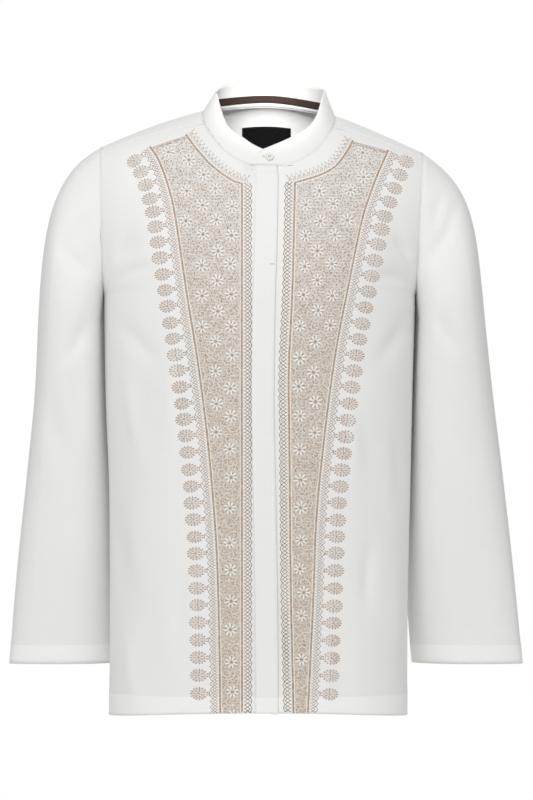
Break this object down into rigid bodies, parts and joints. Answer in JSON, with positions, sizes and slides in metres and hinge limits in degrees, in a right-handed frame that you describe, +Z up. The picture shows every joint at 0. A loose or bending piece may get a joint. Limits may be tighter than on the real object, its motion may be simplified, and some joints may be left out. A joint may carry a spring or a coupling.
{
  "type": "koko shirt",
  "caption": "Men's long-sleeved koko shirt in its worn form, with a stand collar, a fly placket, a shoulder yoke and embroidered front panels; it goes on over the arms and chest.",
  "frame": {"origin": "middle of the neck's base, level with the tops of the shoulders, where the wearer's neck and shoulders hold the shirt up", "axes": "+Z up along the body, front towards -Y, +X towards the wearer's left arm"},
  "size_m": [0.6572, 0.2408, 0.8063],
  "materials": {
    "white_cotton": "matt white shirting cotton with a faint slub check",
    "tan_thread": "satin-stitched tan rayon embroidery thread with a soft sheen",
    "brown_tape": "dark brown herringbone cotton tape",
    "black_label": "plain black woven satin",
    "white_button": "white shirt button with a pearly gloss"
  },
  "bodies": {
    "root": {"front_left": "white_cotton", "front_right": "white_cotton", "placket": "white_cotton", "back": "white_cotton", "yoke": "white_cotton", "sleeve_left": "white_cotton", "sleeve_right": "white_cotton", "collar": "white_cotton", "collar_tape": "brown_tape", "neck_label": "black_label", "collar_button": "white_button"}
  },
  "joints": []
}
